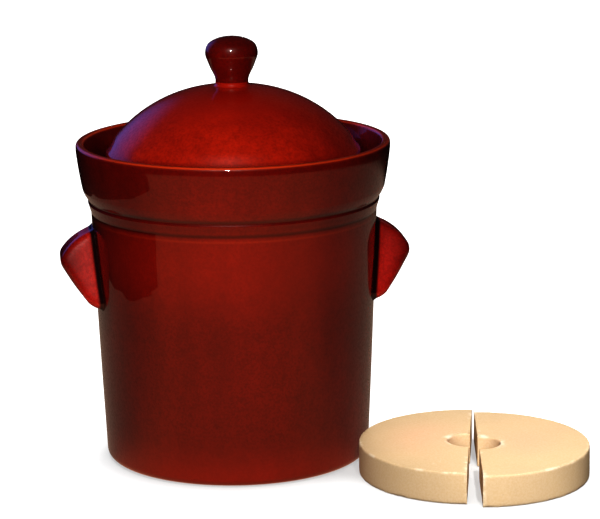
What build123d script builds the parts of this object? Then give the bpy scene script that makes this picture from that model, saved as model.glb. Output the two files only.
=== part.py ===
from build123d import *
from math import cos, hypot, radians, sin, sqrt
import os

# A glazed stoneware fermentation crock with a water gutter round its mouth. A domed lid stands in
# the gutter, and two half-round stones weigh the pickles down. All lengths are in millimetres.
# The origin is the middle of the flat base, +Z is up, and the two handles lie along X.

# Pot wall and floor
body_h = 230.0          # from the base to the lower crease
body_top_r = 130.6      # wall radius at the lower crease
wall_flare = 9.1        # the wall is this much further in just above the rounded foot
foot_round = 6.8        # rounding between base and wall
wall_swell = 0.45       # how far the wall bows out from a straight line
wall_t = 10.0
floor_t = 12.0
floor_corner_r = 14.0   # inside rounding between floor and wall

# Bead and collar
bead_h = 11.8           # from the lower crease to the upper one
bead_swell = 0.8        # how far the bead's widest line stands out of the upper crease
bead_peak_drop = 2.4    # from the upper crease down to that line
bead_taper = 2.0        # the upper crease is this much further out than the lower one
collar_h = 51.7         # from the upper crease to the top of the lip
collar_reach = 10.6     # how far the collar stands out of the upper crease, just under the lip
collar_hem_h = 9.8      # height of the slanting lower edge of the collar
collar_hem_w = 5.4      # how far that edge stands out of the upper crease
collar_hem_swell = 0.5
crease_round = 2.0      # the glaze fills the creases with a small round
collar_swell = 0.4
collar_wall_t = 9.0     # at the gutter floor
lip_t = 7.2
lip_round = 3.4

# Shoulder, gutter and neck
shelf_t = 10.0          # thickness of the gutter floor at the mouth
shoulder_h = 22.0       # height of the sloping underside of the gutter floor
shoulder_round = 8.0
gutter_corner_r = 5.0
gutter_w = 27.3         # clear width of the gutter at its floor
neck_wall_t = 8.0
neck_h = 34.0
neck_lip_round = 3.4

# Lid
skirt_gap = 3.0         # between the neck and the inside of the skirt
skirt_t = 8.0
skirt_edge_round = 1.6
flange_h = 40.5         # from the gutter floor to the widest line of the flange
flange_reach = 6.4      # how far the flange stands out of the skirt
flange_round = 4.2
flange_lip_h = 6.3      # from the widest line of the flange down to the plain skirt
dome_h = 60.5           # from the widest line of the flange to the crown
crown_r = 8.6           # the crown is flat this far from the axis
dome_t = 8.0
flare_w = 9.0           # width of the band where the dome turns out into the flange
flare_h = 17.0          # height of that band's upper edge over the widest line of the flange
seat_h = 4.0            # raised seat of the knob
seat_cove = 3.4
notch_r = 7.0           # half-round gas notches in the lower edge of the skirt, one on each side

# Knob
knob_r = 23.9
knob_h = 40.9
knob_neck_r = 15.0
knob_neck_h = 1.6       # the neck is straight this far up
# Radius and height of the flare, the widest line and the cap, as shares of knob_r and knob_h
knob_shares = ((0.82, 0.31), (1.00, 0.62), (0.84, 0.86))
# Which way the side runs at the neck, at those three heights and at the top: outward share, upward share
knob_slope_shares = ((0, 1), (0.55, 1), (0, 1), (-0.8, 0.6), (-1, 0))

# Handles
ear_reach = 33.0        # from the wall to the sharp tip, before it is rounded
ear_top_drop = 14.4     # from the lower crease down to the upper end
ear_tip_drop = 41.5     # from the lower crease down to the tip
ear_bottom_drop = 84.5  # from the lower crease down to the lower end
ear_roof_swell = 4.5    # how far the roof bows out from a straight line
ear_heel = 8.0          # how far the lower end stands out of the wall
ear_top_w = 34.0        # width at the wall, at the top
ear_bottom_w = 76.0     # width at the wall, at the bottom
ear_tip_w_share = 0.80  # width in line with the tip, of the width at the wall
ear_nose_r = 10.0       # rounding of the tip, seen from the front of the crock
ear_heel_r = 16.0       # rounding of the lower end, seen the same way
ear_edge_r = 6.0        # rounding of the long edges
ear_cove_r = 8.0        # the clay smeared into the wall round the handle
ear_cove_sink = 0.8     # the cove starts this far under the surface, so that its edge isn't a feather
ear_shell_t = 9.0
ear_roof_t = 10.0
ear_lip_round = 2.5

# Weight stones, which lie beside the crock
stone_r = 100.0
stone_t = 29.0
stone_edge_round = 2.0
thumb_r = 20.0          # half-round notch in the middle of the straight side
stone_clearance = 3.0   # between the left stone and the foot of the crock
stone_gap = 8.0         # between the two straight sides
stone_slide = 8.0       # the right stone lies this much nearer to the front
stone_azimuth = -27.0   # degrees from +X to the middle of the left stone, seen from the crock
left_stone_turn = -11.5 # degrees from +Y to its straight side
right_stone_turn = -8.0

overrun = 20.0          # how far a cut runs past what it cuts

# Heights that pieces share
gutter_z = body_h + bead_h
rim_z = gutter_z + collar_h
flange_z = gutter_z + flange_h
crown_z = flange_z + dome_h
knob_z = crown_z + seat_h

ear_top_z = body_h - ear_top_drop
ear_tip_z = body_h - ear_tip_drop
ear_bottom_z = body_h - ear_bottom_drop

# Radii that pieces share
foot_r = body_top_r - wall_flare
upper_crease_r = body_top_r + bead_taper
collar_r = upper_crease_r + collar_reach
gutter_r = upper_crease_r + collar_hem_w / 2 - collar_wall_t
neck_r = gutter_r - gutter_w
neck_bore_r = neck_r - neck_wall_t
skirt_inner_r = neck_r + skirt_gap
skirt_r = skirt_inner_r + skirt_t
flange_r = skirt_r + flange_reach


def wall_radius(z):
    """Radius of a straight line up the outside of the pot wall."""
    return foot_r + (body_top_r - foot_r) * (z - foot_round) / (body_h - foot_round)


def wall_line(inset):
    """Draws the outer line of the pot wall, moved in by inset."""
    middle_z = (foot_round + body_h) / 2
    return ThreePointArc(
        (foot_r - inset, foot_round),
        (wall_radius(middle_z) + wall_swell - inset, middle_z),
        (body_top_r - inset, body_h),
    )


# The dome's side view is an arc from the edge of the crown to the start of the flare
flare_r = flange_r - flange_round / 2 - flare_w
dome_drop = dome_h - flare_h
dome_r = ((flare_r - crown_r) ** 2 + dome_drop**2) / (2 * dome_drop)


def dome_z(r, radius):
    """Height at distance r from the axis of an arc that is concentric with the dome."""
    return crown_z - dome_r + sqrt(radius**2 - (r - crown_r) ** 2)


# Pot: floor, wall, bead, collar and gutter floor in one turned piece
inner_foot_r = wall_radius(floor_t) - wall_t
inner_top_z = gutter_z - shelf_t - shoulder_h
inner_top_r = wall_radius(inner_top_z) - wall_t


def corners_near(r, z):
    """The corners of the sketch being drawn that are close to radius r and height z."""
    return [v for v in vertices() if hypot(v.X - r, v.Y - z) < lip_round]


with BuildPart() as crock_pot:
    with BuildSketch(Plane.XZ):
        with BuildLine():
            Line((0, 0), (foot_r - foot_round, 0))
            RadiusArc((foot_r - foot_round, 0), (foot_r, foot_round), -foot_round)
            wall_line(0)
            bead_peak = (upper_crease_r + bead_swell, gutter_z - bead_peak_drop)
            Line((body_top_r, body_h), bead_peak)
            Line(bead_peak, (upper_crease_r, gutter_z))
            hem_end = (upper_crease_r + collar_hem_w, gutter_z + collar_hem_h)
            SagittaArc((upper_crease_r, gutter_z), hem_end, -collar_hem_swell)
            SagittaArc(hem_end, (collar_r, rim_z - lip_t), -collar_swell)
            Line((collar_r, rim_z - lip_t), (collar_r, rim_z))
            Line((collar_r, rim_z), (collar_r - lip_t, rim_z))
            Line((collar_r - lip_t, rim_z), (gutter_r, gutter_z))
            Line((gutter_r, gutter_z), (neck_bore_r, gutter_z))
            Line((neck_bore_r, gutter_z), (neck_bore_r, gutter_z - shelf_t))
            Line((neck_bore_r, gutter_z - shelf_t), (inner_top_r, inner_top_z))
            Line((inner_top_r, inner_top_z), (inner_foot_r, floor_t))
            Line((inner_foot_r, floor_t), (0, floor_t))
            Line((0, floor_t), (0, 0))
        make_face()
        fillet(corners_near(body_top_r, body_h), crease_round)
        fillet(corners_near(upper_crease_r, gutter_z), crease_round)
        fillet(corners_near(collar_r, rim_z), lip_round)
        fillet(corners_near(collar_r - lip_t, rim_z), lip_round)
        fillet(corners_near(gutter_r, gutter_z), gutter_corner_r)
        fillet(corners_near(inner_top_r, inner_top_z), shoulder_round)
        fillet(corners_near(inner_foot_r, floor_t), floor_corner_r)
    revolve(axis=Axis.Z)
crock_pot.part.label = "crock_pot"

# Neck: the inner wall of the gutter, thrown separately and set on the gutter floor
with BuildPart() as neck_ring:
    with BuildSketch(Plane.XY.offset(gutter_z)):
        Circle(neck_r)
        Circle(neck_bore_r, mode=Mode.SUBTRACT)
    extrude(amount=neck_h)
    fillet(neck_ring.edges().group_by(Axis.Z)[-1], neck_lip_round)
neck_ring.part.label = "neck_ring"

# Lid: dome, flange and skirt in one turned shell
nose_step = flange_round / sqrt(2)
nose_top = (flange_r - flange_round + nose_step, flange_z + nose_step)
nose_bottom = (flange_r - flange_round + nose_step, flange_z - nose_step)
seat_foot_z = dome_z(knob_neck_r, dome_r)
inner_dome_r = dome_r - dome_t

with BuildPart() as lid:
    with BuildSketch(Plane.XZ):
        with BuildLine():
            Line((0, knob_z), (knob_neck_r, knob_z))
            Line((knob_neck_r, knob_z), (knob_neck_r, seat_foot_z))
            dome = ThreePointArc(
                (knob_neck_r, seat_foot_z),
                (flare_r / 2, dome_z(flare_r / 2, dome_r)),
                (flare_r, dome_z(flare_r, dome_r)),
            )
            Spline(dome @ 1, nose_top, tangents=[dome % 1, (1, -1)])
            ThreePointArc(nose_top, (flange_r, flange_z), nose_bottom)
            Line(nose_bottom, (skirt_r, flange_z - flange_lip_h))
            Line((skirt_r, flange_z - flange_lip_h), (skirt_r, gutter_z))
            Line((skirt_r, gutter_z), (skirt_inner_r, gutter_z))
            Line((skirt_inner_r, gutter_z), (skirt_inner_r, dome_z(skirt_inner_r, inner_dome_r)))
            ThreePointArc(
                (skirt_inner_r, dome_z(skirt_inner_r, inner_dome_r)),
                (skirt_inner_r / 2, dome_z(skirt_inner_r / 2, inner_dome_r)),
                (crown_r, crown_z - dome_t),
            )
            Line((crown_r, crown_z - dome_t), (0, crown_z - dome_t))
            Line((0, crown_z - dome_t), (0, knob_z))
        make_face()
    revolve(axis=Axis.Z)
    seat_foot = [e for e in lid.edges() if abs(e.center().Z - seat_foot_z) < seat_h / 4]
    fillet(seat_foot, seat_cove)
    fillet(lid.edges().group_by(Axis.Z)[0], skirt_edge_round)
    for notch_plane in (Plane.XZ, Plane.YZ):
        with BuildSketch(notch_plane):
            with Locations((0, gutter_z)):
                Circle(notch_r)
        extrude(amount=flange_r, both=True, mode=Mode.SUBTRACT)
lid.part.label = "lid"

# Knob: a solid mushroom on the raised seat
knob_points = [(knob_r * r_share, knob_z + knob_h * z_share) for r_share, z_share in knob_shares]
knob_top = (0, knob_z + knob_h)

with BuildPart() as lid_knob:
    with BuildSketch(Plane.XZ):
        with BuildLine():
            Line((0, knob_z), (knob_neck_r, knob_z))
            neck = Line((knob_neck_r, knob_z), (knob_neck_r, knob_z + knob_neck_h))
            Spline(neck @ 1, *knob_points, knob_top, tangents=knob_slope_shares)
            Line(knob_top, (0, knob_z))
        make_face()
    revolve(axis=Axis.Z)
lid_knob.part.label = "lid_knob"

# Handles: hollow ears set on the wall, open below for the fingers
ear_root_r = foot_r - wall_t
ear_tip_x = wall_radius(ear_tip_z) + ear_reach
ear_heel_x = wall_radius(ear_bottom_z) + ear_heel
ear_head_x = wall_radius(ear_top_z)


def from_mouth(point):
    """Distance of a point from the slanting plane that the handle's mouth lies in."""
    run = ear_tip_x - ear_heel_x
    rise = ear_tip_z - ear_bottom_z
    return abs((point.X - ear_heel_x) * rise - (point.Z - ear_bottom_z) * run) / hypot(run, rise)


def ear_half_width(z, narrowing):
    """Half the width of the handle at height z."""
    rise_share = (z - ear_bottom_z) / (ear_top_z - ear_bottom_z)
    return narrowing * (ear_bottom_w + (ear_top_w - ear_bottom_w) * rise_share) / 2


def wall_core_line(inset):
    """Draws round the half section of the solid inside the pot wall, moved in by inset."""
    outside = wall_line(inset)
    Polyline(outside @ 1, (0, body_h), (0, foot_round), outside @ 0)


with BuildPart() as right_handle:
    with BuildSketch(Plane.XZ):
        with BuildLine():
            Line((ear_root_r, ear_bottom_z), (ear_heel_x, ear_bottom_z))
            Line((ear_heel_x, ear_bottom_z), (ear_tip_x, ear_tip_z))
            SagittaArc((ear_tip_x, ear_tip_z), (ear_head_x, ear_top_z), -ear_roof_swell)
            Line((ear_head_x, ear_top_z), (ear_root_r, ear_top_z))
            Line((ear_root_r, ear_top_z), (ear_root_r, ear_bottom_z))
        make_face()
        fillet(corners_near(ear_tip_x, ear_tip_z), ear_nose_r)
        fillet(corners_near(ear_heel_x, ear_bottom_z), ear_heel_r)
    extrude(amount=ear_bottom_w, both=True)
    low_z = ear_bottom_z - overrun
    high_z = ear_top_z + overrun / 2
    for x, narrowing in ((ear_root_r, 1), (ear_tip_x + overrun, ear_tip_w_share)):
        low_w = ear_half_width(low_z, narrowing)
        high_w = ear_half_width(high_z, narrowing)
        with BuildSketch(Plane.YZ.offset(x)):
            Polygon((-low_w, low_z), (low_w, low_z), (high_w, high_z), (-high_w, high_z), align=None)
    loft(ruled=True, mode=Mode.INTERSECT)
    outer_edges = right_handle.edges().filter_by(lambda e: e.bounding_box().max.X > ear_root_r + 1)
    fillet(outer_edges, ear_edge_r)
    with BuildSketch(Plane.XZ):
        with BuildLine():
            wall_core_line(ear_cove_sink)
        make_face()
    revolve(axis=Axis.Z)
    new_edges = right_handle.edges(Select.NEW)
    fillet(new_edges.filter_by_position(Axis.Z, ear_bottom_z - wall_t, ear_top_z + wall_t), ear_cove_r)
    for z, finger_x in (
        (ear_bottom_z - overrun, ear_tip_x - ear_shell_t),
        (ear_tip_z + ear_roof_t, ear_tip_x - (ear_reach + ear_shell_t) / 2),
    ):
        finger_w = ear_half_width(z, 1) - ear_shell_t
        with BuildSketch(Plane.XY.offset(z)):
            with Locations((ear_root_r, 0)):
                Rectangle(finger_x - ear_root_r, 2 * finger_w, align=(Align.MIN, Align.CENTER))
            fillet([v for v in vertices() if v.X > ear_root_r + ear_shell_t], finger_w / 2)
    loft(ruled=True, mode=Mode.SUBTRACT)
    new_edges = right_handle.edges(Select.NEW)
    fillet([e for e in new_edges if from_mouth(e.center()) < ear_lip_round / 4], ear_lip_round)
    with BuildSketch(Plane.XZ):
        with BuildLine():
            wall_core_line(0)
        make_face()
    revolve(axis=Axis.Z, mode=Mode.SUBTRACT)
right_handle.part.label = "right_handle"

with BuildPart() as left_handle:
    mirror(right_handle.part, about=Plane.YZ)
left_handle.part.label = "left_handle"

# Weight stones: two half discs with a thumb notch, flat on the surface that the crock stands on
left_stone_distance = wall_radius(stone_t) + stone_clearance + stone_r
left_stone_x = left_stone_distance * cos(radians(stone_azimuth))
left_stone_y = left_stone_distance * sin(radians(stone_azimuth))
left_stone_place = Location((left_stone_x, left_stone_y, 0), (0, 0, left_stone_turn))
right_stone_shift = Location((stone_gap, -stone_slide, 0), (0, 0, right_stone_turn - left_stone_turn))
right_stone_place = left_stone_place * right_stone_shift


def stone_outline(side):
    """Draws half a disc on one side of Y, with a half-round notch in its straight side."""
    Circle(stone_r)
    with Locations((-side * stone_r, 0)):
        Rectangle(2 * stone_r, 3 * stone_r, mode=Mode.SUBTRACT)
    Circle(thumb_r, mode=Mode.SUBTRACT)


with BuildPart() as weight_stone_left:
    with BuildSketch(Plane(left_stone_place)):
        stone_outline(-1)
    extrude(amount=stone_t)
    fillet(weight_stone_left.edges(), stone_edge_round)
weight_stone_left.part.label = "weight_stone_left"

with BuildPart() as weight_stone_right:
    with BuildSketch(Plane(right_stone_place)):
        stone_outline(1)
    extrude(amount=stone_t)
    fillet(weight_stone_right.edges(), stone_edge_round)
weight_stone_right.part.label = "weight_stone_right"

pieces = (
    crock_pot,
    neck_ring,
    left_handle,
    right_handle,
    lid,
    lid_knob,
    weight_stone_left,
    weight_stone_right,
)
os.makedirs("parts", exist_ok=True)
for piece in pieces:
    export_step(piece.part, f"parts/{piece.part.label}.step")
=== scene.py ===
import math

import bmesh
import bpy
from mathutils import Matrix, Vector, noise


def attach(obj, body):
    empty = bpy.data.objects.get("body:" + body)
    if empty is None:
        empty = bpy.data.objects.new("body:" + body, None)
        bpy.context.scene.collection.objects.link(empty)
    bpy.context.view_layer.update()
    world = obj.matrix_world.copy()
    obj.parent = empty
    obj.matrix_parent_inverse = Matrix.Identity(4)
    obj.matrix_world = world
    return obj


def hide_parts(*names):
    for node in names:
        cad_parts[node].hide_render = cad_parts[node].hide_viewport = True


# The looks of a glazed stoneware fermentation crock: turned pot, lid and knob, ear handles and two
# half-round weight stones. Lengths are in metres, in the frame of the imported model.
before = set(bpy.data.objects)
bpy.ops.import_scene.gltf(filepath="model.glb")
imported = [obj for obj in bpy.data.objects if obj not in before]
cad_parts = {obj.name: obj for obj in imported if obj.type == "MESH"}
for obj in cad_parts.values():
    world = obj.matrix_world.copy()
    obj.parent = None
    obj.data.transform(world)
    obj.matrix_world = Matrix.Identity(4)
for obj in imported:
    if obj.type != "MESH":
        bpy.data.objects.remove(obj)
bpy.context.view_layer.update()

MM = 0.001

# Sizes of the pieces, the same as the solids have
body_h = 230.0 * MM
body_top_r = 130.6 * MM
wall_flare = 9.1 * MM
foot_round = 6.8 * MM
wall_swell = 0.45 * MM
wall_t = 10.0 * MM
floor_t = 12.0 * MM
floor_corner_r = 14.0 * MM
bead_h = 11.8 * MM
bead_swell = 0.8 * MM
bead_peak_drop = 2.4 * MM
bead_taper = 2.0 * MM
collar_h = 51.7 * MM
collar_reach = 10.6 * MM
collar_hem_h = 9.8 * MM
collar_hem_w = 5.4 * MM
collar_hem_swell = 0.5 * MM
collar_swell = 0.4 * MM
collar_wall_t = 9.0 * MM
lip_t = 7.2 * MM
lip_round = 3.4 * MM
shelf_t = 10.0 * MM
shoulder_h = 22.0 * MM
shoulder_round = 8.0 * MM
gutter_corner_r = 5.0 * MM
gutter_w = 27.3 * MM
neck_wall_t = 8.0 * MM
neck_h = 34.0 * MM
neck_lip_round = 3.4 * MM
skirt_gap = 3.0 * MM
skirt_t = 8.0 * MM
skirt_edge_round = 1.6 * MM
flange_h = 40.5 * MM
flange_reach = 6.4 * MM
flange_round = 4.2 * MM
flange_lip_h = 6.3 * MM
dome_h = 60.5 * MM
crown_r = 8.6 * MM
dome_t = 8.0 * MM
flare_w = 9.0 * MM
flare_h = 17.0 * MM
seat_h = 4.0 * MM
seat_cove = 3.4 * MM
notch_r = 7.0 * MM
knob_r = 23.9 * MM
knob_h = 40.9 * MM
knob_neck_r = 15.0 * MM
knob_neck_h = 1.6 * MM

gutter_z = body_h + bead_h
rim_z = gutter_z + collar_h
flange_z = gutter_z + flange_h
crown_z = flange_z + dome_h
knob_z = crown_z + seat_h
foot_r = body_top_r - wall_flare
upper_crease_r = body_top_r + bead_taper
collar_r = upper_crease_r + collar_reach
gutter_r = upper_crease_r + collar_hem_w / 2 - collar_wall_t
neck_r = gutter_r - gutter_w
neck_bore_r = neck_r - neck_wall_t
skirt_inner_r = neck_r + skirt_gap
skirt_r = skirt_inner_r + skirt_t
flange_r = skirt_r + flange_reach
flare_r = flange_r - flange_round / 2 - flare_w
stone_r = 100.0 * MM
stone_t = 29.0 * MM
thumb_r = 20.0 * MM
stone_clearance = 3.0 * MM
stone_gap = 8.0 * MM
stone_slide = 8.0 * MM
stone_azimuth = math.radians(-27.0)
left_stone_turn = math.radians(-11.5)
right_stone_turn = math.radians(-8.0)

dome_drop = dome_h - flare_h
dome_r = ((flare_r - crown_r) ** 2 + dome_drop**2) / (2 * dome_drop)
notch_cutter_length = 2.4 * flange_r

# Points of the knob's outline as shares of its radius and height, one more than the solid has, with
# the slope of the line at the neck, at each of them and at the top
knob_shares = ((0.82, 0.31), (0.97, 0.535), (1.00, 0.62), (0.84, 0.86))
knob_slopes = ((0.1, 1), (0.42, 1), (0.38, 1), (0, 1), (-0.8, 0.6), (-1, 0))

# The arc of the dome is drawn from this far outside the neck of the knob, clear of the cove
dome_start_gap = 5.0 * MM

# The glaze fills the creases with a small round, and runs softly over the bead and the hem
crease_round = 2.0 * MM
bead_round = 2.0 * MM
hem_round = 8.0 * MM

# How finely the round pieces and the curves of their outlines are divided
turn_segments = 288
stone_segments = 240
thumb_segments = 96
notch_segments = 48
foot_steps = 10
wall_steps = 24
collar_steps = 10
dome_steps = 30
inner_dome_steps = 24
flare_steps = 12
nose_steps = 8
knob_steps = 14

# Points this near each other become one
weld = 0.002 * MM

ear_root_sink = 2.0 * MM
# What lies this near the wall counts as the ear's root
ear_root_touch = 0.1 * MM
ear_tip_spare = 0.05 * MM
ear_face_size = 1.1 * MM
# The handle is smoothed from this far off the wall, and in full from this much further
ear_root_hold = 1.5 * MM
ear_root_fade = 9.0 * MM
ear_smooth_passes = 70

stone_cut_touch = 0.001 * MM
stone_face_size = 1.25 * MM
stone_settle_passes = 6
# Chips: how far from an edge they reach, their scale, how rare they are and how deep
stone_chip_w = 3.0 * MM
stone_chip_scale = 62.0
stone_chip_rarity = 0.42
stone_chip_depth = 4.16 * MM


def wall_radius(z):
    return foot_r + wall_flare * (z - foot_round) / (body_h - foot_round)


def dome_z(r, radius):
    return crown_z - dome_r + math.sqrt(radius**2 - (r - crown_r) ** 2)


def bowed(start, end, sagitta, count):
    """Points of an arc from start to end that stands out by sagitta on its right-hand side."""
    a, b = Vector(start), Vector(end)
    chord = b - a
    side = Vector((chord.y, -chord.x)).normalized()
    radius = (chord.length**2 / 4 + sagitta**2) / (2 * sagitta)
    centre = (a + b) / 2 - side * (radius - sagitta)
    half = math.asin(min(1.0, chord.length / 2 / radius))
    along = chord.normalized()
    turns = [half * (2 * i / count - 1) for i in range(count + 1)]
    return [tuple(centre + side * radius * math.cos(t) + along * radius * math.sin(t)) for t in turns]


def rounded(corners, count=8):
    """The outline through (point, radius) corners, with an arc of that radius in place of each corner."""
    line = []
    for i, (point, radius) in enumerate(corners):
        here = Vector(point)
        if not radius:
            line.append(tuple(here))
            continue
        back = (Vector(corners[i - 1][0]) - here).normalized()
        ahead = (Vector(corners[i + 1][0]) - here).normalized()
        half = back.angle(ahead) / 2
        run = radius / math.tan(half)
        centre = here + (back + ahead).normalized() * radius / math.sin(half)
        first, last = here + back * run - centre, here + ahead * run - centre
        sweep = first.angle_signed(last)
        for k in range(count + 1):
            spoke = Matrix.Rotation(-sweep * k / count, 2) @ first
            line.append(tuple(centre + spoke))
    return line


def plain(points):
    return [(p, 0) for p in points]


def placed(name, data):
    """A new object in the scene with that mesh, lamp or camera."""
    thing = bpy.data.objects.new(name, data)
    bpy.context.scene.collection.objects.link(thing)
    return thing


def made(name, bm):
    """A new object in the scene with the mesh that was built in bm."""
    mesh = bpy.data.meshes.new(name)
    bm.to_mesh(mesh)
    bm.free()
    return placed(name, mesh)


def applied(piece):
    """Turns a piece's modifiers into its mesh."""
    bpy.context.view_layer.update()
    evaluated = piece.evaluated_get(bpy.context.evaluated_depsgraph_get())
    done = bpy.data.meshes.new_from_object(evaluated)
    piece.modifiers.clear()
    old = piece.data
    piece.data = done
    bpy.data.meshes.remove(old)
    piece.data.name = piece.name


def cut_away(piece, cutter):
    """Cuts the cutter's shape out of the piece, and takes the cutter away."""
    cut = piece.modifiers.new("cut", "BOOLEAN")
    cut.operation = "DIFFERENCE"
    cut.object = cutter
    cut.solver = "EXACT"
    applied(piece)
    shape = cutter.data
    bpy.data.objects.remove(cutter)
    bpy.data.meshes.remove(shape)


def turned(name, outline, closed=False):
    """A piece of clay turned about the axis of the crock."""
    bm = bmesh.new()
    verts = [bm.verts.new((r, 0, z)) for r, z in outline]
    edges = [bm.edges.new(pair) for pair in zip(verts, verts[1:])]
    if closed:
        edges.append(bm.edges.new((verts[-1], verts[0])))
    bmesh.ops.spin(
        bm,
        geom=verts + edges,
        cent=(0, 0, 0),
        axis=(0, 0, 1),
        dvec=(0, 0, 0),
        angle=2 * math.pi,
        steps=turn_segments,
        use_merge=True,
        use_duplicate=False,
    )
    bmesh.ops.remove_doubles(bm, verts=bm.verts[:], dist=weld)
    bmesh.ops.recalc_face_normals(bm, faces=bm.faces[:])
    return made(name, bm)


def smooth(piece, crease_angle=38):
    piece.data.polygons.foreach_set("use_smooth", [True] * len(piece.data.polygons))
    piece.data.set_sharp_from_angle(angle=math.radians(crease_angle))


def pot_outline():
    inner_foot_r = wall_radius(floor_t) - wall_t
    inner_top_z = gutter_z - shelf_t - shoulder_h
    inner_top_r = wall_radius(inner_top_z) - wall_t
    foot_centre = (foot_r - foot_round, foot_round)
    foot = [
        (foot_centre[0] + foot_round * math.sin(t), foot_centre[1] - foot_round * math.cos(t))
        for t in (math.pi / 2 * i / foot_steps for i in range(foot_steps + 1))
    ]
    hem_end = (upper_crease_r + collar_hem_w, gutter_z + collar_hem_h)
    corners = plain([(0, 0)] + foot)
    corners += plain(bowed((foot_r, foot_round), (body_top_r, body_h), wall_swell, wall_steps)[1:-1])
    corners += [
        ((body_top_r, body_h), crease_round),
        ((upper_crease_r + bead_swell, gutter_z - bead_peak_drop), bead_round),
        ((upper_crease_r, gutter_z), crease_round),
    ]
    corners += plain(bowed((upper_crease_r, gutter_z), hem_end, collar_hem_swell, collar_steps)[2:-1])
    corners += [(hem_end, hem_round)]
    corners += plain(bowed(hem_end, (collar_r, rim_z - lip_t), collar_swell, collar_steps)[1:])
    corners += [
        ((collar_r, rim_z), lip_round),
        ((collar_r - lip_t, rim_z), lip_round),
        ((gutter_r, gutter_z), gutter_corner_r),
        ((neck_bore_r, gutter_z), 0),
        ((neck_bore_r, gutter_z - shelf_t), 0),
        ((inner_top_r, inner_top_z), shoulder_round),
        ((inner_foot_r, floor_t), floor_corner_r),
        ((0, floor_t), 0),
    ]
    return rounded(corners)


def neck_outline():
    top_z = gutter_z + neck_h
    corners = [
        ((neck_bore_r, gutter_z), 0),
        ((neck_r, gutter_z), 0),
        ((neck_r, top_z), neck_lip_round),
        ((neck_bore_r, top_z), neck_lip_round),
        ((neck_bore_r, gutter_z), 0),
    ]
    return rounded(corners)[:-1]


def curved(points, slopes, count):
    """A smooth line through the points that runs along the given slope at each of them."""
    line = [points[0]]
    for a, b, slope_a, slope_b in zip(points, points[1:], slopes, slopes[1:]):
        a, b = Vector(a), Vector(b)
        chord = (b - a).length
        out_a, in_b = Vector(slope_a).normalized() * chord, Vector(slope_b).normalized() * chord
        for k in range(1, count + 1):
            t = k / count
            point = (
                a * (2 * t**3 - 3 * t**2 + 1)
                + out_a * (t**3 - 2 * t**2 + t)
                + b * (3 * t**2 - 2 * t**3)
                + in_b * (t**3 - t**2)
            )
            line.append(tuple(point))
    return line


def lid_outline():
    inner_dome_r = dome_r - dome_t
    nose_step = flange_round / math.sqrt(2)
    nose_x = flange_r - flange_round + nose_step
    first_r = knob_neck_r + dome_start_gap
    dome_angle = math.asin((flare_r - crown_r) / dome_r)
    first_angle = math.asin((first_r - crown_r) / dome_r)
    dome = []
    for i in range(dome_steps + 1):
        t = first_angle + (dome_angle - first_angle) * i / dome_steps
        dome.append((crown_r + dome_r * math.sin(t), crown_z - dome_r + dome_r * math.cos(t)))
    dome_end_slope = (math.cos(dome_angle), -math.sin(dome_angle))
    flare = curved([dome[-1], (nose_x, flange_z + nose_step)], [dome_end_slope, (1, -1)], flare_steps)
    nose_ends = ((nose_x, flange_z - nose_step), (nose_x, flange_z + nose_step))
    nose = bowed(*nose_ends, flange_round - nose_step, nose_steps)
    inner = []
    for i in range(inner_dome_steps + 1):
        r = skirt_inner_r + (crown_r - skirt_inner_r) * i / inner_dome_steps
        inner.append((r, dome_z(r, inner_dome_r)))
    corners = [((0, knob_z), 0), ((knob_neck_r, knob_z), 0)]
    corners += [((knob_neck_r, dome_z(knob_neck_r, dome_r)), seat_cove)]
    corners += plain(dome + flare[1:] + nose[::-1][1:])
    corners += [
        ((skirt_r, flange_z - flange_lip_h), 0),
        ((skirt_r, gutter_z), skirt_edge_round),
        ((skirt_inner_r, gutter_z), skirt_edge_round),
    ]
    corners += plain(inner)
    corners += [((0, crown_z - dome_t), 0)]
    return rounded(corners)


def knob_outline():
    points = [(knob_neck_r, knob_z + knob_neck_h)]
    points += [(knob_r * r_share, knob_z + knob_h * z_share) for r_share, z_share in knob_shares]
    points += [(0, knob_z + knob_h)]
    return [(0, knob_z), (knob_neck_r, knob_z)] + curved(points, knob_slopes, knob_steps)


def cut_gas_notches(lid):
    """Cuts the half-round notches through the lower edge of the lid's skirt, along X and along Y."""
    for name, axis in (("x", "Y"), ("y", "X")):
        bm = bmesh.new()
        bmesh.ops.create_cone(
            bm,
            cap_ends=True,
            segments=notch_segments,
            radius1=notch_r,
            radius2=notch_r,
            depth=notch_cutter_length,
        )
        quarter_turn = Matrix.Rotation(math.pi / 2, 3, axis)
        bmesh.ops.rotate(bm, verts=bm.verts[:], cent=(0, 0, 0), matrix=quarter_turn)
        bmesh.ops.translate(bm, verts=bm.verts[:], vec=(0, 0, gutter_z))
        cut_away(lid, made("notch_cutter_" + name, bm))


def even_mesh(piece, size):
    """Remeshes a piece into even faces of about that size."""
    remesh = piece.modifiers.new("even_faces", "REMESH")
    remesh.mode = "VOXEL"
    remesh.voxel_size = size
    applied(piece)


def off_wall(point):
    """How far a point is outside the pot wall."""
    return math.hypot(point.x, point.y) - wall_radius(point.z)


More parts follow.
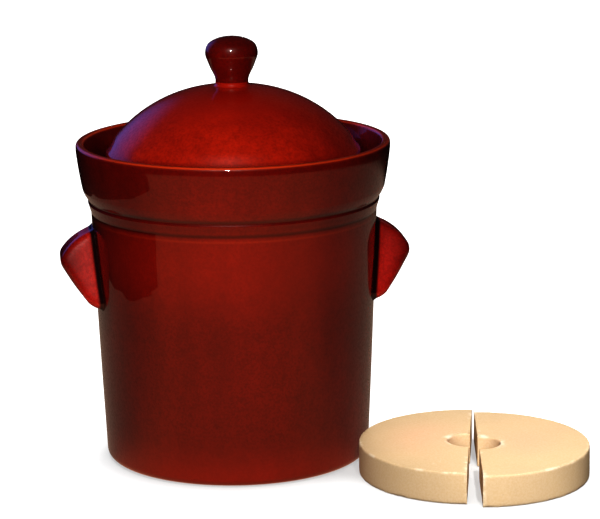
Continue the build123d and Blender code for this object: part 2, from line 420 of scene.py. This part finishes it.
def smoothed_ear(name, node):
    """The handle with its edges melted soft, as thick glaze leaves them, and its root sunk in the wall."""
    bm = bmesh.new()
    bm.from_mesh(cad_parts[node].data)
    bmesh.ops.remove_doubles(bm, verts=bm.verts[:], dist=weld)
    for vert in bm.verts:
        if off_wall(vert.co) < wall_swell + ear_root_touch:
            r = math.hypot(vert.co.x, vert.co.y)
            vert.co.x *= 1 - ear_root_sink / r
            vert.co.y *= 1 - ear_root_sink / r
    piece = made(name, bm)
    reach = max(abs(v.co.x) for v in piece.data.vertices) - ear_tip_spare
    even_mesh(piece, ear_face_size)
    grip = piece.vertex_groups.new(name="melting")
    for vert in piece.data.vertices:
        share = (off_wall(vert.co) - ear_root_hold) / ear_root_fade
        grip.add([vert.index], min(1.0, max(0.0, share)), "REPLACE")
    melt = piece.modifiers.new("melt", "SMOOTH")
    melt.factor = 0.5
    melt.iterations = ear_smooth_passes
    melt.vertex_group = grip.name
    applied(piece)
    tip = max((v.co for v in piece.data.vertices), key=lambda co: abs(co.x))
    growth = (reach - abs(tip.x)) / off_wall(tip)
    for vert in piece.data.vertices:
        r = math.hypot(vert.co.x, vert.co.y)
        off = off_wall(vert.co)
        if off > 0:
            vert.co.x += vert.co.x / r * off * growth
    piece.vertex_groups.clear()
    piece.data.polygons.foreach_set("use_smooth", [True] * len(piece.data.polygons))
    return piece


def stone_place(right):
    """Where a weight stone's disc centre lies and how it is turned, as a matrix."""
    distance = wall_radius(stone_t) + stone_clearance + stone_r
    middle = Vector((distance * math.cos(stone_azimuth), distance * math.sin(stone_azimuth), 0))
    place = Matrix.Translation(middle) @ Matrix.Rotation(left_stone_turn, 4, "Z")
    if right:
        place @= Matrix.Translation((stone_gap, -stone_slide, 0))
        place @= Matrix.Rotation(right_stone_turn - left_stone_turn, 4, "Z")
    return place


def round_block(name, radius, low, high, segments):
    """An upright round block about the origin."""
    bm = bmesh.new()
    bmesh.ops.create_cone(
        bm, cap_ends=True, segments=segments, radius1=radius, radius2=radius, depth=high - low
    )
    bmesh.ops.translate(bm, verts=bm.verts[:], vec=(0, 0, (low + high) / 2))
    return made(name, bm)


def weight_stone(name, right):
    """Half a disc of bare stoneware with a thumb notch, crisp worn edges and a few chips."""
    side = 1 if right else -1
    piece = round_block(name, stone_r, 0, stone_t, stone_segments)
    bm = bmesh.new()
    bm.from_mesh(piece.data)
    cut = bmesh.ops.bisect_plane(
        bm,
        geom=bm.verts[:] + bm.edges[:] + bm.faces[:],
        dist=stone_cut_touch,
        plane_co=(0, 0, 0),
        plane_no=(-side, 0, 0),
        clear_outer=True,
    )
    rim = [e for e in cut["geom_cut"] if isinstance(e, bmesh.types.BMEdge)]
    bmesh.ops.contextual_create(bm, geom=rim)
    bmesh.ops.recalc_face_normals(bm, faces=bm.faces[:])
    bm.to_mesh(piece.data)
    bm.free()
    cut_away(piece, round_block("thumb_cutter", thumb_r, -stone_t, 2 * stone_t, thumb_segments))
    even_mesh(piece, stone_face_size)
    settle = piece.modifiers.new("settle", "SMOOTH")
    settle.factor = 0.5
    settle.iterations = stone_settle_passes
    applied(piece)
    for vert in piece.data.vertices:
        x, y, z = vert.co
        r = math.hypot(x, y)
        sides = sorted((abs(x), abs(r - stone_r), abs(r - thumb_r), z, stone_t - z))
        edge = max(0.0, 1 - sides[1] / stone_chip_w)
        pattern = noise.noise(vert.co * stone_chip_scale + Vector((side, 0, 0)))
        sink = max(0.0, pattern - stone_chip_rarity) * edge * stone_chip_depth
        inward = Vector((side * stone_r / 2, 0, stone_t / 2)) - vert.co
        vert.co += inward.normalized() * sink
    piece.data.transform(stone_place(right))
    piece.data.polygons.foreach_set("use_smooth", [True] * len(piece.data.polygons))
    return piece


class Nodes:
    """A node tree, with short calls to add nodes and link them."""

    def __init__(self, tree):
        self.tree = tree
        self.tree.nodes.clear()

    def add(self, kind):
        return self.tree.nodes.new(kind)

    def link(self, output, socket):
        self.tree.links.new(output, socket)

    def remap(self, value, low, high, to_low=0.0, to_high=1.0, kind="SMOOTHSTEP"):
        node = self.add("ShaderNodeMapRange")
        node.interpolation_type = kind
        node.inputs["From Min"].default_value = low
        node.inputs["From Max"].default_value = high
        node.inputs["To Min"].default_value = to_low
        node.inputs["To Max"].default_value = to_high
        self.link(value, node.inputs["Value"])
        return node.outputs["Result"]

    def math(self, operation, a, b=None):
        node = self.add("ShaderNodeMath")
        node.operation = operation
        for socket, value in zip(node.inputs, (a, b)):
            if isinstance(value, (int, float)):
                socket.default_value = value
            elif value is not None:
                self.link(value, socket)
        return node.outputs["Value"]

    def vector(self, operation, a, b=None):
        node = self.add("ShaderNodeVectorMath")
        node.operation = operation
        self.link(a, node.inputs[0])
        if b is not None:
            node.inputs[1].default_value = b
        return node

    def mix(self, share, a, b):
        node = self.add("ShaderNodeMix")
        node.data_type = "RGBA"
        factor = node.inputs[0]
        first, second = [s for s in node.inputs if s.type == "RGBA"]
        for socket, value in ((factor, share), (first, a), (second, b)):
            if isinstance(value, (int, float, tuple)):
                socket.default_value = value
            else:
                self.link(value, socket)
        return [s for s in node.outputs if s.type == "RGBA"][0]

    def show_by_ray(self, mirrored, seen, output):
        """Gives the camera one shader, and the mirrors and the light another."""
        ray = self.add("ShaderNodeLightPath")
        choice = self.add("ShaderNodeMixShader")
        self.link(ray.outputs["Is Camera Ray"], choice.inputs["Fac"])
        self.link(mirrored.outputs[0], choice.inputs[1])
        self.link(seen.outputs[0], choice.inputs[2])
        self.link(choice.outputs[0], output.inputs["Surface"])


class Finish(Nodes):
    """The nodes of a piece's material, which read its place in the frame of the crock."""

    def __init__(self, name):
        self.material = bpy.data.materials.new(name)
        self.material.use_nodes = True
        super().__init__(self.material.node_tree)
        output = self.add("ShaderNodeOutputMaterial")
        self.shader = self.add("ShaderNodeBsdfPrincipled")
        self.link(self.shader.outputs["BSDF"], output.inputs["Surface"])
        self.place = self.add("ShaderNodeTexCoord").outputs["Object"]
        self.x, self.y, self.height = self.parted(self.place)

    def parted(self, vector):
        node = self.add("ShaderNodeSeparateXYZ")
        self.link(vector, node.inputs["Vector"])
        return node.outputs["X"], node.outputs["Y"], node.outputs["Z"]

    def stretched(self, scale):
        node = self.add("ShaderNodeMapping")
        node.inputs["Scale"].default_value = scale
        self.link(self.place, node.inputs["Vector"])
        return node.outputs["Vector"]

    def noise(self, scale, detail=3.0, roughness=0.55, place=None):
        node = self.add("ShaderNodeTexNoise")
        node.inputs["Scale"].default_value = scale
        node.inputs["Detail"].default_value = detail
        node.inputs["Roughness"].default_value = roughness
        self.link(place or self.place, node.inputs["Vector"])
        return node.outputs["Fac"]

    def near(self, value, target, reach):
        """1 where the value is at its target, and 0 at reach above or below it."""
        apart = self.math("ABSOLUTE", self.math("SUBTRACT", value, target))
        return self.remap(apart, 0.0, reach, 1.0, 0.0)

    def length_of(self, a, b):
        squares = self.math("ADD", self.math("MULTIPLY", a, a), self.math("MULTIPLY", b, b))
        return self.math("SQRT", squares)

    def bump(self, value, distance, strength):
        node = self.add("ShaderNodeBump")
        node.inputs["Strength"].default_value = strength
        node.inputs["Distance"].default_value = distance
        self.link(value, node.inputs["Height"])
        return node.outputs["Normal"]

    def set(self, **values):
        """Values of the shader that are the same all over the piece."""
        for name, value in values.items():
            self.shader.inputs[name.replace("_", " ")].default_value = value


# Glaze colours, from the thick to the thin, among them colours of painted shade and painted light
# Painted shade: near-black, for the cove at each ear's root and the oval on the wall round it
glaze_painted_shade = (0.014, 0.0012, 0.0012, 1.0)
# Glaze pooled thick, and painted shade: the colour of the creases and the bead
glaze_pool_and_shade = (0.030, 0.0018, 0.0012, 1.0)
glaze_deep = (0.060, 0.0018, 0.0010, 1.0)
glaze_red = (0.145, 0.0050, 0.0020, 1.0)
glaze_bright = (0.225, 0.0085, 0.0028, 1.0)
# Painted shade on the lid's crown round the knob's foot
glaze_crown_shade = (0.285, 0.0110, 0.0034, 1.0)
# Painted light: the colour of the lighter belts on the pot's wall
glaze_painted_light = (0.40, 0.0150, 0.0036, 1.0)
glaze_thin = (0.45, 0.040, 0.009, 1.0)
glaze_edge = (0.62, 0.058, 0.012, 1.0)
pot_shades = (glaze_deep, glaze_red, glaze_bright)
# Painted light: the lid's glaze is a lighter copy of the pot's, for the brighter light on the lid
lid_painted_light_shades = ((0.14, 0.0050, 0.0016, 1.0), (0.40, 0.0175, 0.0038, 1.0), (0.55, 0.0280, 0.0056, 1.0))
knob_shades = ((0.045, 0.0016, 0.0010, 1.0), (0.12, 0.0036, 0.0016, 1.0), (0.20, 0.0060, 0.0022, 1.0))
# Painted light: the ears' glaze is a lighter copy of the pot's, for the brighter light on their faces
ear_painted_light_shades = ((0.24, 0.0080, 0.0044, 1.0), (0.60, 0.0230, 0.0140, 1.0), (0.72, 0.0320, 0.0200, 1.0))

# Bands of the pot's glaze: the height of the middle, the reach above and below, the share and the colour
# Painted light: lighter belts high on the wall and at the foot
wall_painted_light = (200.0 * MM, 66.0 * MM, 0.22, glaze_painted_light)
foot_painted_light = (0.0, 46.0 * MM, 0.42, glaze_painted_light)
# The creases darker: glaze pooled in them, and painted shade under the collar
lower_crease_pool_and_shade = (body_h, 3.2 * MM, 0.8, glaze_pool_and_shade)
upper_crease_pool_and_shade = (gutter_z + 1.0 * MM, 4.0 * MM, 0.8, glaze_pool_and_shade)
# Painted shade: the bead darker under the collar's overhang
bead_painted_shade = (body_h + bead_h / 2, 9.0 * MM, 0.35, glaze_pool_and_shade)
lip_belt = (rim_z, 3.8 * MM, 0.35, glaze_thin)
lip_edges = (rim_z - 1.0 * MM, 1.2 * MM, 0.85, glaze_edge)
crease_edge = (body_h - 5.0 * MM, 1.8 * MM, 0.2, glaze_thin)
pot_bands = (
    wall_painted_light,
    foot_painted_light,
    lower_crease_pool_and_shade,
    upper_crease_pool_and_shade,
    bead_painted_shade,
    lip_belt,
    lip_edges,
    crease_edge,
)

# The painted shade on the lid's crown, round the knob's foot, starts and ends at these heights
crown_shade_low_z = flange_z + 26 * MM
crown_shade_high_z = crown_z + 2 * MM

# Half the width and height of the painted shade's oval round each ear, and the height of its middle
ear_shade_oval_w = 54 * MM
ear_shade_oval_h = 62 * MM
ear_shade_oval_z = 176 * MM

# Where an ear's painted shade fades off the wall in the cove, and where it grows on the face towards the
# tip
cove_shade_fade = (2.6 * MM, 5.2 * MM)
face_shade_fade = (10.0 * MM, 31.0 * MM)

ripple_depth = 0.5 * MM
speck_depth = 0.08 * MM


def glaze(name, shades, bands=(), crown_shade=None, painted_shade=None):
    """Glossy oxblood glaze: mottled, with bands of thick or thin glaze and of painted light and shade."""
    n = Finish(name)
    deep, red, bright = shades
    clouds = n.remap(n.noise(9.0, 3.0), 0.32, 0.68)
    streaks = n.remap(n.noise(42.0, 4.0, 0.6, n.stretched((1.0, 1.0, 0.22))), 0.30, 0.72)
    blots = n.remap(n.noise(120.0, 3.0, 0.65), 0.36, 0.70)
    specks = n.remap(n.noise(430.0, 2.0, 0.6), 0.35, 0.70)
    colour = n.mix(n.math("MULTIPLY", clouds, 0.45), red, bright)
    for pattern, share in ((streaks, 0.30), (blots, 0.30), (specks, 0.42)):
        colour = n.mix(n.math("MULTIPLY", pattern, share), colour, deep)
    for z, reach, share, shade in bands:
        colour = n.mix(n.math("MULTIPLY", n.near(n.height, z, reach), share), colour, shade)
    # Painted shade in near-black, where the given mask says
    if painted_shade:
        colour = n.mix(painted_shade(n), colour, glaze_painted_shade)
    # Painted shade over the lid's crown, growing up towards the knob
    if crown_shade:
        colour = n.mix(n.remap(n.height, *crown_shade), colour, glaze_crown_shade)
    n.link(colour, n.shader.inputs["Base Color"])
    n.link(n.remap(specks, 0.0, 1.0, 0.34, 0.46, "LINEAR"), n.shader.inputs["Roughness"])
    n.set(Specular_IOR_Level=0.25, Coat_Weight=1.0, Coat_Roughness=0.02, Coat_IOR=1.5)
    n.link(n.bump(n.noise(26.0, 2.0), ripple_depth, 0.35), n.shader.inputs["Coat Normal"])
    n.link(n.bump(n.noise(240.0, 2.0), speck_depth, 0.4), n.shader.inputs["Normal"])
    return n.material


def shade_round_the_ears(n):
    """The share of painted shade on the wall in an oval round the root of each ear."""
    aside = n.math("DIVIDE", n.y, ear_shade_oval_w)
    along = n.math("DIVIDE", n.math("SUBTRACT", n.height, ear_shade_oval_z), ear_shade_oval_h)
    return n.remap(n.length_of(aside, along), 0.72, 1.22, 0.72, 0.0)


def ear_root_shade(n):
    """The share of painted shade in the cove where an ear meets the wall, and on its face towards its tip.
    """
    flare = wall_flare / (body_h - foot_round)
    wall = n.math("ADD", n.math("MULTIPLY", n.height, flare), foot_r - flare * foot_round)
    off = n.math("SUBTRACT", n.length_of(n.x, n.y), wall)
    return n.math("ADD", n.remap(off, *cove_shade_fade, 1.0, 0.0), n.remap(off, *face_shade_fade, 0.0, 0.62))


# The stones' clay
stone_cream = (0.67, 0.485, 0.285, 1.0)
stone_pink = (0.70, 0.43, 0.27, 1.0)
stone_pale = (0.86, 0.76, 0.60, 1.0)
stone_dull = (0.60, 0.43, 0.26, 1.0)
stone_pore = (0.36, 0.23, 0.12, 1.0)
# Middle and reach of the pink blush, across the stone and along its straight edge
blush_across = (42 * MM, 52 * MM)
blush_along = (4 * MM, 80 * MM)
# How wide the scuffs are at each kind of edge
straight_scuff_w = 5 * MM
round_scuff_w = 3.5 * MM
thumb_scuff_w = 8 * MM
top_scuff_w = 3 * MM
corner_scuff_w = 4 * MM
grain_depth = 0.25 * MM


def bare_stone(name, right):
    """Unglazed cream stoneware: matte, pinker in the middle of its faces, with pale scuffs at its edges."""
    n = Finish(name)
    place = stone_place(right)
    own = n.add("ShaderNodeMapping")
    own.vector_type = "TEXTURE"
    own.inputs["Location"].default_value = place.to_translation()
    own.inputs["Rotation"].default_value = place.to_euler()
    n.link(n.place, own.inputs["Vector"])
    x, y, z = n.parted(own.outputs["Vector"])
    r = n.length_of(x, y)
    side = 1 if right else -1
    blush_x, blush_reach = blush_across
    middle = n.math("MULTIPLY", n.near(x, side * blush_x, blush_reach), n.near(y, *blush_along))
    round_edges = n.math("MAXIMUM", n.near(r, stone_r, round_scuff_w), n.near(r, thumb_r, thumb_scuff_w))
    rims = n.math("MAXIMUM", n.near(x, 0.0, straight_scuff_w), round_edges)
    corners = n.math("MULTIPLY", n.near(x, 0.0, corner_scuff_w), n.near(r, stone_r, corner_scuff_w))
    edge = n.math("MULTIPLY", rims, n.math("MAXIMUM", n.near(z, stone_t, top_scuff_w), corners))
    clouds = n.remap(n.noise(14.0, 3.0), 0.36, 0.66)
    grain = n.noise(560.0, 3.0, 0.65)
    scratches = n.remap(n.noise(30.0, 6.0, 0.75, n.stretched((1.0, 0.35, 1.0))), 0.64, 0.74)
    worn = n.remap(n.noise(48.0, 5.0, 0.7), 0.50, 0.66)
    pores = n.remap(n.noise(210.0, 2.0), 0.72, 0.80)
    colour = n.mix(n.math("MULTIPLY", clouds, 0.5), stone_cream, stone_dull)
    colour = n.mix(n.math("MULTIPLY", middle, 0.75), colour, stone_pink)
    colour = n.mix(n.math("MULTIPLY", scratches, 0.42), colour, stone_pale)
    colour = n.mix(n.math("MULTIPLY", n.math("MULTIPLY", edge, worn), 0.85), colour, stone_pale)
    colour = n.mix(n.math("MULTIPLY", pores, 0.30), colour, stone_pore)
    colour = n.mix(n.remap(grain, 0.35, 0.65, 0.0, 0.14), colour, stone_pale)
    n.link(colour, n.shader.inputs["Base Color"])
    n.link(n.remap(grain, 0.3, 0.7, 0.78, 0.92, "LINEAR"), n.shader.inputs["Roughness"])
    n.set(Specular_IOR_Level=0.2)
    relief = n.math("SUBTRACT", grain, n.math("MULTIPLY", pores, 0.8))
    n.link(n.bump(relief, grain_depth, 0.5), n.shader.inputs["Normal"])
    return n.material


# The pieces
pot = turned("glazed_pot", pot_outline())
smooth(pot)
neck = turned("gutter_neck", neck_outline(), closed=True)
smooth(neck)
dome_lid = turned("domed_lid", lid_outline())
cut_gas_notches(dome_lid)
smooth(dome_lid)
knob = turned("mushroom_knob", knob_outline())
smooth(knob)

pot_glaze = glaze("pot_glaze", pot_shades, bands=pot_bands, painted_shade=shade_round_the_ears)
lid_glaze = glaze("lid_glaze", lid_painted_light_shades, crown_shade=(crown_shade_low_z, crown_shade_high_z, 0.0, 1.0))
knob_glaze = glaze("knob_glaze", knob_shades)
ear_glaze = glaze("ear_glaze", ear_painted_light_shades, painted_shade=ear_root_shade)
left_ear = smoothed_ear("left_ear", "left_handle")
right_ear = smoothed_ear("right_ear", "right_handle")
left_stone = weight_stone("left_weight", False)
right_stone = weight_stone("right_weight", True)

for piece, node, body, material in (
    (pot, "crock_pot", "crock", pot_glaze),
    (neck, "neck_ring", "crock", pot_glaze),
    (dome_lid, "lid", "lid", lid_glaze),
    (knob, "lid_knob", "lid", knob_glaze),
    (left_ear, "left_handle", "crock", ear_glaze),
    (right_ear, "right_handle", "crock", ear_glaze),
    (left_stone, "weight_stone_left", "left_stone", bare_stone("left_stone_clay", False)),
    (right_stone, "weight_stone_right", "right_stone", bare_stone("right_stone_clay", True)),
):
    piece.data.materials.clear()
    piece.data.materials.append(material)
    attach(piece, body)
    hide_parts(node)

# The frame of the photograph is turned by this much from the frame of the crock
photo_turn = Matrix.Rotation(math.radians(-6.5), 3, "Z")

# Camera, as fitted to the rings of the crock in the photograph
camera_lens_mm = 159.325
camera_sensor_mm = 36.0
camera_reach = 50.0
camera_place = photo_turn @ Vector((0.05978, -2.38333, 0.72057))
camera_sight = photo_turn @ Vector((0, 0.97522638, -0.22120918))
camera_right = photo_turn @ Vector((0.99992935, -0.0026294, -0.01159204))
camera_up = photo_turn @ Vector((0.01188651, 0.22119355, 0.97515749))

camera_data = bpy.data.cameras.new("camera")
camera_data.lens = camera_lens_mm
camera_data.sensor_width = camera_sensor_mm
camera_data.clip_end = camera_reach
camera = placed("camera", camera_data)
camera_turn = Matrix((camera_right, camera_up, -camera_sight)).transposed().to_4x4()
camera.matrix_world = Matrix.Translation(camera_place) @ camera_turn
bpy.context.scene.camera = camera

# What the lamps look at, and the height that their places are measured from
lamp_aim = Vector((0, 0, 0.2))


def seen_from_crock(azimuth, elevation, distance):
    """The way to a point so many degrees right of the photograph's front and above the floor."""
    a, e = math.radians(azimuth), math.radians(elevation)
    away = Vector((math.sin(a) * math.cos(e), -math.cos(a) * math.cos(e), math.sin(e)))
    return photo_turn @ (away * distance)


def lamp(name, azimuth, elevation, distance, size, power, colour, glossy=False):
    """A soft round lamp that looks at the crock and isn't seen itself."""
    data = bpy.data.lights.new(name, "AREA")
    data.energy = power
    data.color = colour
    data.shape = "DISK"
    data.size = size
    lamp_object = placed(name, data)
    place = seen_from_crock(azimuth, elevation, distance) + lamp_aim
    turn = (lamp_aim - place).to_track_quat("-Z", "Y")
    lamp_object.matrix_world = Matrix.Translation(place) @ turn.to_matrix().to_4x4()
    lamp_object.visible_camera = False
    lamp_object.visible_glossy = glossy
    return lamp_object


def spot(name, azimuth, elevation, distance, aim, width, height, power, colour, softness):
    """A soft spot lamp with an oval cone, so many degrees wide and high, that only lights matt colour."""
    data = bpy.data.lights.new(name, "SPOT")
    data.energy = power
    data.color = colour
    data.spot_size = math.radians(width)
    data.spot_blend = 1.0
    data.shadow_soft_size = softness
    lamp_object = placed(name, data)
    place = seen_from_crock(azimuth, elevation, distance) + lamp_aim
    turn = (Vector(aim) - place).to_track_quat("-Z", "Y").to_matrix().to_4x4()
    stretch = math.tan(math.radians(height / 2)) / math.tan(math.radians(width / 2))
    lamp_object.matrix_world = Matrix.Translation(place) @ turn @ Matrix.Diagonal((1, stretch, 1, 1))
    lamp_object.visible_glossy = False


warm_white = (1.0, 0.97, 0.93)
glint = lamp(
    "glint_lamp",
    azimuth=-3.5,
    elevation=34,
    distance=3.0,
    size=0.12,
    power=36,
    colour=warm_white,
    glossy=True,
)
glint.visible_diffuse = False
lamp("top_lamp", azimuth=-14, elevation=42, distance=2.6, size=0.35, power=15, colour=(1.0, 0.98, 0.95))
lamp("fill_lamp", azimuth=-4, elevation=10, distance=3.0, size=0.5, power=20, colour=warm_white)
lamp("back_lamp", azimuth=170, elevation=24, distance=2.6, size=0.9, power=40, colour=(1.0, 0.97, 0.94))
spot(
    "front_spot",
    azimuth=-2,
    elevation=14,
    distance=0.85,
    aim=(0, 0, 0.19),
    width=23,
    height=60,
    power=13,
    colour=(1.0, 0.97, 0.92),
    softness=0.1,
)
spot(
    "stone_spot",
    azimuth=16,
    elevation=38,
    distance=1.7,
    aim=(0.235, -0.11, 0.01),
    width=11.5,
    height=11,
    power=112,
    colour=(1.0, 0.99, 0.97),
    softness=0.02,
)
spot(
    "lid_spot",
    azimuth=-16,
    elevation=30,
    distance=1.2,
    aim=(-0.02, 0, 0.325),
    width=12,
    height=8,
    power=11,
    colour=(1.0, 0.97, 0.92),
    softness=0.05,
)
for piece in (left_stone, right_stone):
    piece.visible_glossy = False

floor_half = 14.0
floor_drop = 0.2 * MM
floor_grey = (0.30, 0.30, 0.30, 1.0)
contact_reach = 0.05
# What the glaze mirrors of the floor: a dull brown, warmer in front, that ends at this distance
mirror_brown = (0.22, 0.15, 0.115, 1.0)
mirror_front = (0.62, 0.24, 0.15, 1.0)
mirror_dark = (0.006, 0.004, 0.004, 1.0)
mirror_end = (0.95, 1.15)


def floor_finish():
    """White for the camera with a soft shadow at the contact, and a dull brown in the glaze's mirror."""
    material = bpy.data.materials.new("pale_floor")
    material.use_nodes = True
    n = Nodes(material.node_tree)
    output = n.add("ShaderNodeOutputMaterial")
    grey = n.add("ShaderNodeBsdfDiffuse")
    grey.inputs["Color"].default_value = floor_grey
    contact = n.add("ShaderNodeAmbientOcclusion")
    contact.inputs["Distance"].default_value = contact_reach
    glow = n.add("ShaderNodeEmission")
    n.link(n.remap(contact.outputs["AO"], 0.35, 1.0, 0.34, 0.88, "LINEAR"), glow.inputs["Strength"])
    seen = n.add("ShaderNodeAddShader")
    n.link(grey.outputs[0], seen.inputs[0])
    n.link(glow.outputs[0], seen.inputs[1])
    position = n.add("ShaderNodeNewGeometry").outputs["Position"]
    away = n.vector("NORMALIZE", position).outputs["Vector"]
    frontness = n.vector("DOT_PRODUCT", away, photo_turn @ Vector((0, -1, 0))).outputs["Value"]
    tinted = n.mix(n.remap(frontness, 0.1, 0.75), mirror_brown, mirror_front)
    distance = n.vector("LENGTH", position).outputs["Value"]
    mirrored = n.add("ShaderNodeEmission")
    n.link(n.mix(n.remap(distance, *mirror_end), tinted, mirror_dark), mirrored.inputs["Color"])
    n.show_by_ray(mirrored, seen, output)
    return material


def pale_floor():
    """A wide floor, a hair below the foot of the crock."""
    bm = bmesh.new()
    bmesh.ops.create_grid(bm, x_segments=1, y_segments=1, size=floor_half)
    bmesh.ops.translate(bm, verts=bm.verts[:], vec=(0, 0, -floor_drop))
    piece = made("pale_floor", bm)
    piece.data.materials.append(floor_finish())
    piece.visible_diffuse = False
    return piece


floor = pale_floor()

# The line on the floor that the dark card stands on, in the frame of the photograph
card_line = ((-0.60, -0.36), (-0.68, 0.10), (-0.66, 0.50), (-0.40, 0.90))
card_h = 0.32
card_black = (0.004, 0.003, 0.003, 1.0)


def dark_card():
    """A dark folded card that stands to the left, out of the picture, for the glaze to mirror."""
    bm = bmesh.new()
    foot = [bm.verts.new(photo_turn @ Vector((x, y, 0))) for x, y in card_line]
    edges = [bm.edges.new(pair) for pair in zip(foot, foot[1:])]
    grown = bmesh.ops.extrude_edge_only(bm, edges=edges)["geom"]
    top = [v for v in grown if isinstance(v, bmesh.types.BMVert)]
    bmesh.ops.translate(bm, verts=top, vec=(0, 0, card_h))
    piece = made("dark_card", bm)
    material = bpy.data.materials.new("dark_card")
    material.use_nodes = True
    n = Nodes(material.node_tree)
    black = n.add("ShaderNodeEmission")
    black.inputs["Color"].default_value = card_black
    n.link(black.outputs[0], n.add("ShaderNodeOutputMaterial").inputs["Surface"])
    piece.data.materials.append(material)
    piece.visible_camera = False
    piece.visible_diffuse = False
    piece.visible_shadow = False
    return piece


card = dark_card()

# A blue dusk behind on the left gives the violet sheen along the left edges
studio_dark = (0.020, 0.018, 0.020, 1.0)
dusk_blue = (0.12, 0.14, 0.52, 1.0)
dusk_azimuth = -140
dusk_elevation = 12
dusk_edges = (0.87, 0.985)


def studio():
    """Dark surroundings for the glaze to mirror, and a pale backdrop for the eye."""
    world = bpy.data.worlds.new("studio")
    world.use_nodes = True
    n = Nodes(world.node_tree)
    output = n.add("ShaderNodeOutputWorld")
    direction = n.add("ShaderNodeTexCoord").outputs["Generated"]
    dusk_way = seen_from_crock(dusk_azimuth, dusk_elevation, 1.0)
    skyward = n.vector("DOT_PRODUCT", direction, dusk_way).outputs["Value"]
    dark = n.add("ShaderNodeBackground")
    n.link(n.mix(n.remap(skyward, *dusk_edges), studio_dark, dusk_blue), dark.inputs["Color"])
    pale = n.add("ShaderNodeBackground")
    pale.inputs["Color"].default_value = (1.0, 1.0, 1.0, 1.0)
    n.show_by_ray(dark, pale, output)
    return world


bpy.context.scene.world = studio()
bpy.context.scene.view_settings.view_transform = "Standard"
bpy.context.scene.view_settings.look = "High Contrast"
